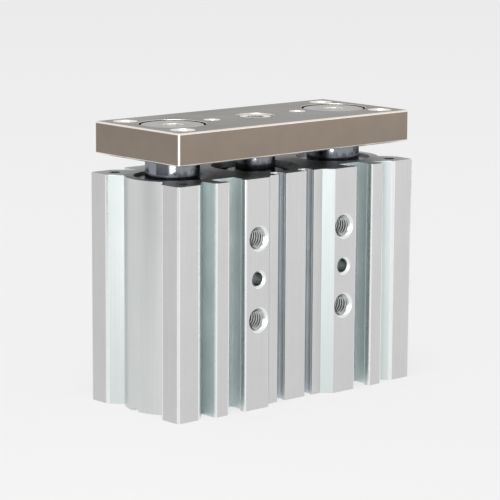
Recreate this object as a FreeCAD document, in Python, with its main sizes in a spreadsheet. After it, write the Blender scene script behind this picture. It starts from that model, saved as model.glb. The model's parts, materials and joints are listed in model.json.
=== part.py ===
# Guided pneumatic cylinder, parametric model, millimetres.
#
# A compact cylinder with a guide rod on each side of its piston rod. All three rods carry one
# tooling plate, so the plate can't turn. The housing is a length of aluminium extrusion.
#
# Frame: the origin is under the middle of the housing, on its rear face. +Z is the way the plate
# travels, X runs along the wide faces, and -Y is the wide face with the tapped holes and T-slots.
# The cylinder is drawn with the plate fully in.

import FreeCAD, Part
import os
import re

import Sketcher

# Driving sizes. Every other size in this file comes from these.
SIZES = {
    "Travel, bores and rods": [
        ("stroke", 30, "travel of the plate"),
        ("cylinder_bore", 25, "bore that the piston runs in"),
        ("piston_rod_diameter", 12, "piston rod"),
        ("guide_rod_diameter", 16, "each guide rod"),
        ("guide_rod_inset", 2, "rear end of the guide rods above the rear face"),
        ("running_clearance", 0.03, "radial, rods in bushes and piston in bore"),
        ("seat_clearance", 0.01, "radial, pieces that are pressed or screwed together"),
    ],
    "Housing section": [
        ("cylinder_wall", 8.5, "bore to each wide face"),
        ("mount_wall", 1.5, "bore to the mounting threads"),
        ("guide_wall", 2.0, "mounting threads to the guide bores"),
        ("boss_wall", 4.0, "guide bore to the outside of its round boss"),
        ("leg_proud", 0.5, "corner legs beyond the round bosses"),
        ("leg_setback", 1.0, "corner legs behind the pads of the wide faces"),
        ("leg_width", 8.05, "flat of a leg on the wide face"),
        ("leg_depth", 7.55, "flat of a leg on the narrow face"),
        ("leg_hole_diameter", 3.3, "hole along each leg"),
        ("leg_hole_inset_x", 5.3, "leg hole from the narrow face"),
        ("leg_hole_inset_y", 4.8, "leg hole from the wide side of the leg"),
        ("pad_outer", 5.3, "pad beyond the mounting holes, outwards"),
        ("pad_inner", 3.9, "pad beyond the mounting holes, inwards"),
        ("rib_width", 5.35, "rib between the T-slot and the corner channel"),
        ("centre_recess", 2.7, "middle of the tapped face behind its pads"),
    ],
    "Slots": [
        ("tslot_neck", 5.8, "mouth of a T-slot"),
        ("tslot_lip", 2.4, "thickness of the lips beside the mouth"),
        ("tslot_width", 8.4, "inside of a T-slot"),
        ("tslot_height", 4.5, "inside of a T-slot"),
        ("sensor_pitch", 11.05, "sensor slots of the tapped face, centre to centre"),
        ("sensor_pitch_rear", 18.0, "sensor slots of the port face, centre to centre"),
        ("sensor_neck", 3.05, "mouth of a sensor slot"),
        ("sensor_bore", 4.2, "round inside of a sensor slot"),
        ("sensor_depth", 2.4, "middle of the round below the face"),
    ],
    "Mounting holes and ports": [
        ("mount_inset", 17.5, "front row of mounting holes from the front face"),
        ("mount_row_pitch", 24, "between the two rows"),
        ("mount_thread", 6, "nominal size of the mounting threads"),
        ("mount_thread_depth", 12, "tapped length"),
        ("mount_mouth", 7.5, "chamfer at the mouth of a thread"),
        ("mount_bore", 5.4, "clearance hole behind each thread"),
        ("mount_counterbore", 9.5, "screw head recess on the port face"),
        ("mount_counterbore_depth", 5.5, "depth of that recess"),
        ("dowel_diameter", 4, "dowel holes between the rows"),
        ("dowel_mouth", 5.4, "chamfer at their mouths"),
        ("dowel_depth", 6, "depth of the dowel holes"),
        ("port_diameter", 8.6, "air port threads"),
        ("port_depth", 7, "depth of a port"),
        ("port_passage", 2.4, "drilling from a port into the bore"),
        ("port_offset", 1.5, "port centre from its drilling, along the bore"),
        ("breather_radius", 1.5, "notch that vents each guide bore at the rear face"),
        ("breather_depth", 1.15, "depth of that notch"),
    ],
    "Covers, rings and seals": [
        ("cover_step", 0.7, "shoulder that each cover sits on"),
        ("head_cover_thickness", 4, "rear cover"),
        ("head_ring_inset", 0.9, "rear retaining ring from the rear face"),
        ("cover_dish_diameter", 17, "dish in the rear of the head cover"),
        ("cover_dish_depth", 1, "depth of that dish"),
        ("rod_cover_length", 9.9, "front cover, under its retaining ring"),
        ("hub_inset", 4.2, "raised middle of the front cover inside its bore"),
        ("mouth_depth", 1.6, "front retaining ring below the front face"),
        ("hub_depth", 1.3, "hub of the front cover below the front face"),
        ("hub_chamfer", 0.6, "outer edge of the hub"),
        ("ring_groove", 1.2, "width of the grooves for the retaining rings"),
        ("ring_thickness", 1.1, "wire of a retaining ring, along the bore"),
        ("ring_bite", 0.6, "how far a ring reaches into its groove"),
        ("ring_float", 0.15, "ring to the bottom of its groove"),
        ("ring_width", 2.2, "radial width of a ring"),
        ("ring_gap", 2.4, "opening of a ring"),
        ("lug_radius", 1.8, "eyes at the ends of a ring"),
        ("lug_hole", 1.6, "holes in the eyes"),
        ("lug_offset", 3.4, "eye to the middle of the opening"),
        ("lug_inset", 2.5, "eye inside the cover bore"),
        ("o_ring_section", 1.2, "cover o-rings"),
        ("o_ring_groove", 1.8, "width of their grooves"),
        ("o_ring_inset", 1.0, "groove from the inner end of a cover"),
        ("rod_bush_wall", 1.0, "bush in the rod cover"),
        ("rod_bush_length", 5.0, "length of that bush"),
        ("rod_seal_width", 2.4, "radial width of the rod seal"),
        ("rod_seal_height", 3.2, "length of the rod seal"),
        ("rod_seal_lip", 2.5, "cover in front of the rod seal"),
        ("rod_seal_float", 0.1, "room behind the rod seal"),
    ],
    "Guide bushes": [
        ("bush_wall", 2.0, "wall of each guide bush"),
        ("bush_length", 14, "length of each guide bush"),
        ("bush_margin", 1, "guide rod left behind the rear bushes at full travel"),
        ("guide_mouth_step", 1.3, "recess at the front of each guide bore"),
        ("guide_mouth_depth", 2.6, "depth of that recess"),
        ("felt_thickness", 1.2, "oil felt in the recess"),
        ("felt_holder_thickness", 0.5, "pressed ring over the felt"),
    ],
    "Piston": [
        ("piston_land", 1.35, "each land between the grooves"),
        ("magnet_width", 3.0, "sensor magnet, along the bore"),
        ("magnet_depth", 2.8, "sensor magnet, radially"),
        ("piston_seal_width", 2.6, "piston seal, along the bore"),
        ("piston_seal_depth", 2.6, "piston seal, radially"),
        ("wear_ring_width", 3.0, "wear ring, along the bore"),
        ("wear_ring_depth", 1.2, "wear ring, radially"),
        ("bumper_inset", 2.5, "rubber bumpers inside the bore, so that the ports stay open"),
        ("bumper_thickness", 2.5, "each bumper"),
        ("bumper_gap", 0.1, "bumper to its cover at each end of the travel"),
        ("spigot_diameter", 8, "end of the piston rod through the piston"),
        ("nut_across_flats", 13, "nut behind the piston"),
        ("nut_thickness", 2.2, "the same nut"),
    ],
    "Plate and its screws": [
        ("plate_gap", 5.5, "plate to housing with the plate in"),
        ("plate_thickness", 9.5, "plate"),
        ("plate_inset_x", 1, "plate inside the housing at each narrow face"),
        ("plate_inset_y", 2, "plate inside the housing at each wide face"),
        ("plate_chamfer", 0.4, "all outer edges of the plate"),
        ("plate_thread", 6, "four tooling threads"),
        ("plate_mouth", 7, "chamfer at their mouths"),
        ("plate_hole_inset_x", 6.5, "tooling threads from the plate's ends"),
        ("plate_hole_inset_y", 6, "tooling threads from the plate's sides"),
        ("plate_dowel_pitch", 34, "two dowel holes in the plate"),
        ("plate_dowel_mouth", 4.8, "chamfer at their mouths"),
        ("guide_seat_depth", 1.5, "guide rods into the plate"),
        ("piston_seat_depth", 1, "piston rod into the plate"),
        ("head_clearance", 0.35, "radial, screw heads in their recesses"),
        ("guide_bolt_head", 19, "flat head over each guide rod"),
        ("guide_bolt_head_thickness", 2.9, "the same head"),
        ("guide_bolt_sink", 0.5, "guide bolt heads below the plate's face"),
        ("guide_bolt_thread", 8, "guide bolt shank"),
        ("guide_bolt_reach", 14, "shank into the guide rod"),
        ("plate_bolt_head", 10, "socket screw over the piston rod"),
        ("plate_bolt_head_thickness", 6, "the same head"),
        ("plate_bolt_sink", 0.3, "its head below the plate's face"),
        ("plate_bolt_thread", 6, "its shank"),
        ("plate_bolt_reach", 11, "its shank into the piston rod"),
        ("tap_spare", 2, "tapped depth beyond the end of a screw"),
        ("socket_hex", 5, "hexagon sockets, across flats"),
        ("socket_depth", 3.2, "depth of the sockets"),
        ("edge_break", 0.4, "chamfer on turned edges"),
        ("overcut", 2, "how far a cut starts outside the metal"),
    ],
}

# Sizes worked out from the driving ones, in the sheet too, so that every feature reads them there.
DERIVED = [
    ("bore_radius", "cylinder_bore / 2"),
    ("cover_radius", "bore_radius + cover_step"),
    ("guide_bore", "guide_rod_diameter + 2 * bush_wall"),
    ("guide_mouth", "guide_bore + 2 * guide_mouth_step"),
    ("mount_x", "bore_radius + mount_wall + mount_thread / 2"),
    ("rod_x", "mount_x + mount_thread / 2 + guide_wall + guide_bore / 2"),
    ("boss_radius", "guide_bore / 2 + boss_wall"),
    ("half_width", "rod_x + boss_radius + leg_proud"),
    ("half_depth", "bore_radius + cylinder_wall"),
    ("leg_face", "half_depth - leg_setback"),
    ("tslot_x", "mount_x + pad_outer + tslot_neck / 2"),
    ("rib_outer", "tslot_x + tslot_neck / 2 + rib_width"),
    ("channel_run", "half_width - leg_width - rib_outer"),
    ("piston_length", "4 * piston_land + magnet_width + piston_seal_width + wear_ring_width"),
    ("head_face", "head_ring_inset + ring_groove + head_cover_thickness"),
    ("rear_bumper_z", "head_face + bumper_gap"),
    ("piston_z", "rear_bumper_z + bumper_thickness"),
    ("front_bumper_z", "piston_z + piston_length"),
    ("piston_top", "front_bumper_z + bumper_thickness"),
    ("rod_cover_z", "piston_top + stroke + bumper_gap"),
    ("rod_ring_z", "rod_cover_z + rod_cover_length"),
    ("body_length", "rod_ring_z + ring_groove + mouth_depth"),
    ("hub_top", "body_length - hub_depth"),
    ("hub_radius", "cover_radius - hub_inset"),
    ("mount_z", "body_length - mount_inset"),
    ("rear_passage_z", "rear_bumper_z + bumper_thickness / 2"),
    ("front_passage_z", "rod_cover_z - bumper_gap - bumper_thickness / 2"),
    ("felt_z", "body_length - guide_mouth_depth"),
    ("front_bush_z", "felt_z - bush_length"),
    ("rear_bush_z", "guide_rod_inset + stroke + bush_margin"),
    ("plate_z", "body_length + plate_gap"),
    ("plate_top", "plate_z + plate_thickness"),
    ("plate_half_width", "half_width - plate_inset_x"),
    ("plate_half_depth", "half_depth - plate_inset_y"),
    ("plate_hole_x", "plate_half_width - plate_hole_inset_x"),
    ("plate_hole_y", "plate_half_depth - plate_hole_inset_y"),
    ("guide_rod_top", "plate_z + guide_seat_depth"),
    ("guide_head_top", "plate_top - guide_bolt_sink"),
    ("guide_head_seat", "guide_head_top - guide_bolt_head_thickness"),
    ("piston_rod_top", "plate_z + piston_seat_depth"),
    ("plate_head_top", "plate_top - plate_bolt_sink"),
    ("plate_head_seat", "plate_head_top - plate_bolt_head_thickness"),
]

SIDES = {"left": "-rod_x", "right": "rod_x"}

doc = FreeCAD.newDocument("guided_cylinder")
sheet = doc.addObject("Spreadsheet::Sheet", "Sizes")


def fill_sheet():
    """Write the driving sizes, then the derived ones, each in a cell of its own with an alias."""
    row = 1
    for heading, sizes in SIZES.items():
        sheet.set(f"A{row}", heading)
        row += 1
        for alias, size, meaning in sizes:
            sheet.set(f"A{row}", meaning)
            sheet.set(f"B{row}", str(size))
            sheet.setAlias(f"B{row}", alias)
            row += 1
    for alias, formula in DERIVED:
        sheet.set(f"B{row}", "=" + formula)
        sheet.setAlias(f"B{row}", alias)
        row += 1
    doc.recompute()


def ref(formula):
    """Put the sheet's name before each alias, so that other objects can use the formula."""
    return re.sub(r"[a-z][a-z_]*\b(?!\()", lambda word: "Sizes." + word.group(0), formula)


def amount(formula):
    """The present value of a formula, for the first draft of a sketch."""
    return float(sheet.evalExpression(formula))


def flip(formula, sign):
    """The formula, or its negative."""
    return formula if sign > 0 or formula == "0" else f"-({formula})"


# ---------------------------------------------------------------- sketches and features


def new_body(label):
    body = doc.addObject("PartDesign::Body", label)
    body.Label = label
    return body


def new_sketch(body, name, plane, lift="0"):
    """A sketch on one of the body's own origin planes, lifted along the plane's normal."""
    sketch = body.newObject("Sketcher::SketchObject", name)
    origin_plane = next(item for item in body.Origin.OriginFeatures if item.Role == plane)
    sketch.AttachmentSupport = [(origin_plane, "")]
    sketch.MapMode = "FlatFace"
    sketch.setExpression("AttachmentOffset.Base.z", ref(lift))
    return sketch


def pin_point(sketch, curve, point, across, up):
    """Hold one point of a curve at (across, up), both formulas."""
    for kind, formula, axis in (("DistanceX", across, -2), ("DistanceY", up, -1)):
        if formula == "0":
            sketch.addConstraint(Sketcher.Constraint("PointOnObject", curve, point, axis))
        else:
            number = sketch.addConstraint(Sketcher.Constraint(kind, curve, point, amount(formula)))
            sketch.setExpression(f"Constraints[{number}]", ref(formula))


def add_outline(sketch, corners):
    """A closed outline of straight edges; each corner is a pair of formulas."""
    first = sketch.GeometryCount
    places = [FreeCAD.Vector(amount(across), amount(up), 0) for across, up in corners]
    ends = places[1:] + places[:1]
    sketch.addGeometry([Part.LineSegment(start, end) for start, end in zip(places, ends)])
    curves = [first + step for step in range(len(corners))]
    joints = zip(curves, curves[1:] + curves[:1])
    sketch.addConstraint([Sketcher.Constraint("Coincident", one, 2, two, 1) for one, two in joints])
    for curve, (across, up) in zip(curves, corners):
        pin_point(sketch, curve, 1, across, up)


def add_circle(sketch, across, up, diameter):
    centre = FreeCAD.Vector(amount(across), amount(up), 0)
    circle = Part.Circle(centre, FreeCAD.Vector(0, 0, 1), amount(diameter) / 2)
    curve = sketch.addGeometry(circle)
    pin_point(sketch, curve, 3, across, up)
    number = sketch.addConstraint(Sketcher.Constraint("Diameter", curve, amount(diameter)))
    sketch.setExpression(f"Constraints[{number}]", ref(diameter))


def rectangle(left, right, bottom, top):
    return [(left, bottom), (right, bottom), (right, top), (left, top)]


def pad(sketch, length):
    body = sketch.getParentGeoFeatureGroup()
    feature = body.newObject("PartDesign::Pad", sketch.Name + "_pad")
    feature.Profile = sketch
    feature.setExpression("Length", ref(length))
    return feature


def remove(feature):
    """Recompute after a cut, and make sure that it took metal away."""
    body = feature.getParentGeoFeatureGroup()
    before = feature.BaseFeature.Shape.Volume
    doc.recompute()
    if not feature.Shape.Volume < before - 1e-3:
        raise RuntimeError(f"{body.Label}: {feature.Name} cuts nothing")
    return feature


def cut(sketch, depth=None, forwards=False):
    """Pocket the sketch, behind its plane or in front of it, or through everything both ways."""
    body = sketch.getParentGeoFeatureGroup()
    feature = body.newObject("PartDesign::Pocket", sketch.Name + "_cut")
    feature.Profile = sketch
    if depth is None:
        feature.Type = "ThroughAll"
        feature.SideType = "Symmetric"
    else:
        feature.setExpression("Length", ref(depth))
        feature.Reversed = forwards
    return remove(feature)


def drill(sketch, diameter, depth, mouth=None, mouth_depth=None):
    """Holes at the circles of a sketch: depth None goes through; a mouth is a chamfer or a recess."""
    body = sketch.getParentGeoFeatureGroup()
    doc.recompute()
    feature = body.newObject("PartDesign::Hole", sketch.Name + "_drill")
    feature.Profile = sketch
    doc.recompute()
    feature.Threaded = False
    feature.DrillPoint = "Flat"
    feature.setExpression("Diameter", ref(diameter))
    feature.DepthType = "Dimension" if depth else "ThroughAll"
    if depth:
        feature.setExpression("Depth", ref(depth))
    if mouth:
        feature.HoleCutType = "Counterbore" if mouth_depth else "Countersink"
        feature.HoleCutCustomValues = True
        feature.setExpression("HoleCutDiameter", ref(mouth))
        if mouth_depth:
            feature.setExpression("HoleCutDepth", ref(mouth_depth))
        else:
            feature.HoleCutCountersinkAngle = 90
    return remove(feature)


def turn(body, name, corners, centre="0"):
    """Turn an outline of (radius, height) formulas about the upright axis at centre."""
    sketch = new_sketch(body, name, "XZ_Plane")
    add_outline(sketch, corners)
    feature = body.newObject("PartDesign::Revolution", name + "_turned")
    feature.Profile = sketch
    feature.ReferenceAxis = (sketch, ["V_Axis"])
    feature.Angle = 360
    if centre != "0":
        body.setExpression("Placement.Base.x", ref(centre))
    return feature


def mirror(body, features, plane):
    """Repeat the features on the other side of one of the body's planes."""
    feature = body.newObject("PartDesign::Mirrored", "mirrored_" + plane)
    feature.Originals = features
    origin_plane = next(item for item in body.Origin.OriginFeatures if item.Role == plane)
    feature.MirrorPlane = (origin_plane, [""])
    body.Tip = feature
    doc.recompute()
    return feature


def socket(body, level):
    """A hexagon socket in a screw head whose top is at level."""
    sketch = new_sketch(body, "socket", "XY_Plane", level)
    flat, edge, point = "socket_hex / 2", "socket_hex / 2 * tan(30)", "socket_hex / 2 / cos(30)"
    half = [(flat, edge), ("0", point), (flip(flat, -1), edge)]
    other = [(flip(across, -1), flip(up, -1)) for across, up in half]
    add_outline(sketch, half + other)
    cut(sketch, "socket_depth")


# ---------------------------------------------------------------- housing


def housing():
    body = new_body("housing")
    outer = new_sketch(body, "block", "XY_Plane")
    add_outline(outer, rectangle("-half_width", "half_width", "-half_depth", "half_depth"))
    pad(outer, "body_length")
    doc.recompute()
    mirror(body, housing_side(body), "YZ_Plane")
    housing_centre(body)
    housing_holes(body)
    return body


def housing_side(body):
    """Everything in the section that the left half repeats, drawn on the right half."""
    features = []

    end = new_sketch(body, "end_recess", "XY_Plane")
    rise, root = "leg_face - leg_depth", "boss_radius / 2"
    inner = f"half_width - ({rise} - {root})"
    outside = "half_width + overcut"
    upper = [(outside, rise), ("half_width", rise), (inner, root)]
    lower = [(across, flip(up, -1)) for across, up in reversed(upper)]
    add_outline(end, upper + lower)
    features.append(cut(end))

    boss = new_sketch(body, "guide_boss", "XY_Plane")
    add_circle(boss, "rod_x", "0", "2 * boss_radius")
    features.append(pad(boss, "body_length"))
    doc.recompute()

    for face, sign in (("front", -1), ("back", 1)):
        channel = new_sketch(body, f"{face}_corner_channel", "XY_Plane")
        leg_edge, proud = "half_width - leg_width", "half_depth + overcut"
        outline = [
            ("rib_outer", proud),
            ("rib_outer", "leg_face - channel_run"),
            (leg_edge, "leg_face"),
            (outside, "leg_face"),
            (outside, proud),
        ]
        add_outline(channel, [(across, flip(up, sign)) for across, up in outline])
        features.append(cut(channel))

    tslot = new_sketch(body, "tslot", "XY_Plane")
    neck, wide = "tslot_neck / 2", "tslot_width / 2"
    mouth, lip = "-half_depth - overcut", "-half_depth + tslot_lip"
    floor = f"{lip} + tslot_height"
    right = [(f"tslot_x + {neck}", mouth), (f"tslot_x + {neck}", lip),
             (f"tslot_x + {wide}", lip), (f"tslot_x + {wide}", floor)]
    left = [(across.replace("+", "-", 1), up) for across, up in reversed(right)]
    add_outline(tslot, right + left)
    features.append(cut(tslot))

    front_face = "half_depth - centre_recess"
    for face, pitch, surface, sign in (("front", "sensor_pitch", front_face, -1),
                                       ("back", "sensor_pitch_rear", "half_depth", 1)):
        across, middle = f"{pitch} / 2", f"{surface} - sensor_depth"
        neck = new_sketch(body, f"{face}_sensor_neck", "XY_Plane")
        sides = (f"{across} - sensor_neck / 2", f"{across} + sensor_neck / 2")
        add_outline(neck, rectangle(*sides, flip(middle, sign), flip("half_depth + overcut", sign)))
        features.append(cut(neck))
        groove = new_sketch(body, f"{face}_sensor_bore", "XY_Plane")
        add_circle(groove, across, flip(middle, sign), "sensor_bore")
        features.append(cut(groove))

    holes = new_sketch(body, "leg_holes", "XY_Plane")
    for sign in (-1, 1):
        up = flip("leg_face - leg_hole_inset_y", sign)
        add_circle(holes, "half_width - leg_hole_inset_x", up, "leg_hole_diameter")
    features.append(cut(holes))

    bore = new_sketch(body, "guide_bore", "XY_Plane")
    add_circle(bore, "rod_x", "0", "guide_bore")
    features.append(cut(bore))
    mouth = new_sketch(body, "guide_mouth", "XY_Plane", "body_length")
    add_circle(mouth, "rod_x", "0", "guide_mouth")
    features.append(cut(mouth, "guide_mouth_depth"))

    breather = new_sketch(body, "breather", "YZ_Plane", "rod_x")
    add_circle(breather, "0", "breather_depth - breather_radius", "2 * breather_radius")
    features.append(cut(breather, "boss_radius + overcut", forwards=True))
    return features


def housing_centre(body):
    """The recess between the pads, and the bore with the seats and ring grooves of its covers."""
    recess = new_sketch(body, "centre_recess", "XY_Plane")
    edge, floor = "mount_x - pad_inner", "mount_x - pad_inner - centre_recess"
    half = [(f"{edge} + overcut", "-half_depth - overcut"), (floor, "-half_depth + centre_recess")]
    add_outline(recess, half + [(flip(across, -1), up) for across, up in reversed(half)])
    cut(recess)

    sketch = new_sketch(body, "cylinder_bore", "XZ_Plane")
    groove = "cover_radius + ring_bite + ring_float"
    rear_groove_top, front_groove_top = "head_ring_inset + ring_groove", "rod_ring_z + ring_groove"
    add_outline(sketch, [
        ("0", "0"), ("cover_radius", "0"),
        ("cover_radius", "head_ring_inset"), (groove, "head_ring_inset"),
        (groove, rear_groove_top), ("cover_radius", rear_groove_top),
        ("cover_radius", "head_face"), ("bore_radius", "head_face"),
        ("bore_radius", "rod_cover_z"), ("cover_radius", "rod_cover_z"),
        ("cover_radius", "rod_ring_z"), (groove, "rod_ring_z"),
        (groove, front_groove_top), ("cover_radius", front_groove_top),
        ("cover_radius", "body_length"), ("0", "body_length"),
    ])
    feature = body.newObject("PartDesign::Groove", "cylinder_bore_turned")
    feature.Profile = sketch
    feature.ReferenceAxis = (sketch, ["V_Axis"])
    feature.Angle = 360
    remove(feature)


def housing_holes(body):
    """Holes in the wide faces: mounting threads, dowels and, on the back, heads and ports."""
    # The XZ plane faces -Y, so a lift of half_depth is the tapped face.
    rows = ("mount_z", "mount_z - mount_row_pitch")
    taps = new_sketch(body, "mounting_threads", "XZ_Plane", "half_depth")
    for row in rows:
        add_circle(taps, "mount_x", row, "mount_thread")
    threads = drill(taps, "mount_thread", "mount_thread_depth", "mount_mouth")

    dowel = new_sketch(body, "dowel_holes", "XZ_Plane", "half_depth")
    add_circle(dowel, "mount_x", "mount_z - mount_row_pitch / 2", "dowel_diameter")
    dowels = drill(dowel, "dowel_diameter", "dowel_depth", "dowel_mouth")

    through = new_sketch(body, "mounting_bores", "XZ_Plane")
    for row in rows:
        add_circle(through, "mount_x", row, "mount_bore")
    bores = cut(through)
    head = new_sketch(body, "screw_head_recesses", "XZ_Plane", "-half_depth")
    for row in rows:
        add_circle(head, "mount_x", row, "mount_counterbore")
    recesses = cut(head, "mount_counterbore_depth", forwards=True)
    mirror(body, [threads, dowels, bores, recesses], "YZ_Plane")

    ends = (("rear", "rear_passage_z", "+"), ("front", "front_passage_z", "-"))
    for end, passage_z, away in ends:
        port = new_sketch(body, f"{end}_port", "XZ_Plane", "-half_depth")
        add_circle(port, "0", f"{passage_z} {away} port_offset", "port_diameter")
        cut(port, "port_depth", forwards=True)
        passage = new_sketch(body, f"{end}_port_passage", "XZ_Plane", "-half_depth")
        add_circle(passage, "0", passage_z, "port_passage")
        cut(passage, "half_depth", forwards=True)


# ---------------------------------------------------------------- covers, rings and seals


def cover_groove(inner_end, inwards):
    """The four corners of an o-ring groove in a cover's rim, from the cover's inner end."""
    near = f"{inner_end} {inwards} o_ring_inset"
    far = f"{near} {inwards} o_ring_groove"
    rim, root = "cover_radius - seat_clearance", "cover_radius - o_ring_section"
    return [(rim, near), (root, near), (root, far), (rim, far)]


def head_cover():
    rim, outer_z = "cover_radius - seat_clearance", "head_ring_inset + ring_groove"
    dish, dish_z = "cover_dish_diameter / 2", f"{outer_z} + cover_dish_depth"
    corners = [("0", dish_z), (dish, dish_z), (f"{dish} + edge_break", outer_z), (rim, outer_z)]
    corners += reversed(cover_groove("head_face", "-"))
    corners += [(rim, "head_face"), ("0", "head_face")]
    turn(new_body("head_cover"), "head_cover_profile", corners)


def rod_cover():
    rim, rod = "cover_radius - seat_clearance", "piston_rod_diameter / 2 + 4 * running_clearance"
    bush = "piston_rod_diameter / 2 + running_clearance + rod_bush_wall + seat_clearance"
    seal = "piston_rod_diameter / 2 + rod_seal_width + seat_clearance"
    seal_top = "hub_top - rod_seal_lip"
    seal_floor = f"{seal_top} - rod_seal_height - rod_seal_float"
    corners = [(bush, "rod_cover_z"), (rim, "rod_cover_z")]
    corners += cover_groove("rod_cover_z", "+")
    corners += [
        (rim, "rod_ring_z"), ("hub_radius", "rod_ring_z"),
        ("hub_radius", "hub_top - hub_chamfer"), ("hub_radius - hub_chamfer", "hub_top"),
        (rod, "hub_top"), (rod, seal_top),
        (seal, seal_top), (seal, seal_floor), (rod, seal_floor),
        (rod, "rod_cover_z + rod_bush_length"), (bush, "rod_cover_z + rod_bush_length"),
    ]
    turn(new_body("rod_cover"), "rod_cover_profile", corners)


def cover_o_ring(label, inner_end, inwards):
    """An o-ring in the rim of a cover, its round section drawn as an octagon."""
    radius = "(o_ring_section / 2 - 2 * seat_clearance)"
    across = "cover_radius - o_ring_section / 2"
    height = f"{inner_end} {inwards} (o_ring_inset + o_ring_groove / 2)"
    angles = [45 * step for step in range(8)]
    corners = [(f"{across} + {radius} * cos({angle})", f"{height} + {radius} * sin({angle})")
               for angle in angles]
    turn(new_body(label), label + "_profile", corners)


def retaining_ring(label, level):
    """An internal retaining ring in its groove, with an eye at each end of the opening."""
    body = new_body(label)
    outer, eye_y = "cover_radius + ring_bite", "-(cover_radius - lug_inset)"
    hoop = new_sketch(body, label + "_hoop", "XY_Plane", level)
    add_circle(hoop, "0", "0", f"2 * ({outer})")
    add_circle(hoop, "0", "0", f"2 * ({outer} - ring_width)")
    pad(hoop, "ring_thickness")
    eyes = new_sketch(body, label + "_eyes", "XY_Plane", level)
    holes = new_sketch(body, label + "_eye_holes", "XY_Plane", level)
    for sign in (-1, 1):
        add_circle(eyes, flip("lug_offset", sign), eye_y, "2 * lug_radius")
        add_circle(holes, flip("lug_offset", sign), eye_y, "lug_hole")
    pad(eyes, "ring_thickness")
    doc.recompute()
    gap = new_sketch(body, label + "_opening", "XY_Plane", level)
    sides = ("-ring_gap / 2", "ring_gap / 2")
    add_outline(gap, rectangle(*sides, f"-({outer}) - overcut", "-hub_radius"))
    cut(gap, "ring_thickness", forwards=True)
    cut(holes, "ring_thickness", forwards=True)


def ring(label, inner, outer, bottom, height, centre="0"):
    """A plain turned ring with its edges left square."""
    top = f"{bottom} + {height}"
    corners = rectangle(inner, outer, bottom, top)
    turn(new_body(label), label + "_profile", corners, centre)


def lip_seal(label, inner, outer, bottom, height):
    """A seal with a groove between its two lips, on the pressure side below it."""
    third = f"(({outer}) - ({inner})) / 3"
    top, notch = f"{bottom} + {height}", f"{bottom} + ({height}) / 2"
    corners = [
        (inner, bottom), (f"{inner} + {third}", bottom),
        (f"{inner} + 1.5 * {third}", notch), (f"{outer} - {third}", bottom),
        (outer, bottom), (outer, top), (inner, top),
    ]
    turn(new_body(label), label + "_profile", corners)


def front_end():
    """The bush and the seal that the piston rod runs through."""
    rod = "piston_rod_diameter / 2"
    running = f"{rod} + running_clearance"
    ring("rod_bush", running, f"{running} + rod_bush_wall", "rod_cover_z", "rod_bush_length")
    seal_z = "hub_top - rod_seal_lip - rod_seal_height"
    lip_seal("rod_seal", running, f"{rod} + rod_seal_width", seal_z, "rod_seal_height")


def guide_bushes(side, centre):
    """Two bushes in one guide bore, and the oil felt with its holder in the mouth."""
    rod = "guide_rod_diameter / 2"
    running, seat = f"{rod} + running_clearance", "guide_bore / 2 - seat_clearance"
    mouth_seat = "guide_mouth / 2 - seat_clearance"
    clear = f"{rod} + 4 * running_clearance"
    ring(f"guide_bush_front_{side}", running, seat, "front_bush_z", "bush_length", centre)
    ring(f"guide_bush_rear_{side}", running, seat, "rear_bush_z", "bush_length", centre)
    ring(f"guide_felt_{side}", running, mouth_seat, "felt_z", "felt_thickness", centre)
    holder_z = "felt_z + felt_thickness"
    ring(f"felt_holder_{side}", clear, mouth_seat, holder_z, "felt_holder_thickness", centre)


# ---------------------------------------------------------------- piston and rods


def piston():
    """The piston, grooved for the wear ring, the magnet and the seal, and the rings in them."""
    rim, bore = "bore_radius - running_clearance", "spigot_diameter / 2 + seat_clearance"
    grooves = [
        ("piston_wear_ring", "wear_ring_width", "wear_ring_depth"),
        ("piston_magnet", "magnet_width", "magnet_depth"),
        ("piston_seal", "piston_seal_width", "piston_seal_depth"),
    ]
    corners = [(bore, "piston_z"), (rim, "piston_z")]
    level = "piston_z + piston_land"
    for label, width, depth in grooves:
        root, top = f"bore_radius - {depth}", f"{level} + {width}"
        corners += [(rim, level), (root, level), (root, top), (rim, top)]
        inner = f"{root} + seat_clearance"
        if label == "piston_seal":
            lip_seal(label, inner, rim, level, width)
        else:
            ring(label, inner, rim, level, width)
        level = f"{top} + piston_land"
    corners += [(rim, "front_bumper_z"), (bore, "front_bumper_z")]
    turn(new_body("piston"), "piston_profile", corners)


def bumpers_and_nut():
    outer = "bore_radius - bumper_inset"
    nut_corner = "nut_across_flats / 2 / cos(30)"
    clear = f"{nut_corner} + 4 * running_clearance"
    ring("rear_bumper", clear, outer, "rear_bumper_z", "bumper_thickness")
    rod = "piston_rod_diameter / 2 + seat_clearance"
    ring("front_bumper", rod, outer, "front_bumper_z", "bumper_thickness")

    nut = new_body("piston_nut")
    blank = new_sketch(nut, "nut_hexagon", "XY_Plane", "piston_z - nut_thickness")
    flat, edge = "nut_across_flats / 2", "nut_across_flats / 2 * tan(30)"
    half = [(flat, edge), ("0", nut_corner), (flip(flat, -1), edge)]
    add_outline(blank, half + [(flip(across, -1), flip(up, -1)) for across, up in half])
    pad(blank, "nut_thickness")
    doc.recompute()
    hole = new_sketch(nut, "nut_hole", "XY_Plane")
    add_circle(hole, "0", "0", "spigot_diameter + 2 * seat_clearance")
    cut(hole)


def piston_rod():
    spigot, radius = "spigot_diameter / 2", "piston_rod_diameter / 2"
    tap = "plate_bolt_thread / 2 + seat_clearance"
    tap_end = "plate_head_seat - plate_bolt_reach - tap_spare"
    spigot_end = "piston_z - nut_thickness"
    turn(new_body("piston_rod"), "piston_rod_profile", [
        ("0", spigot_end), (f"{spigot} - edge_break", spigot_end),
        (spigot, f"{spigot_end} + edge_break"), (spigot, "front_bumper_z"),
        (radius, "front_bumper_z"), (radius, "piston_rod_top"),
        (tap, "piston_rod_top"), (tap, tap_end), ("0", tap_end),
    ])


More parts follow.
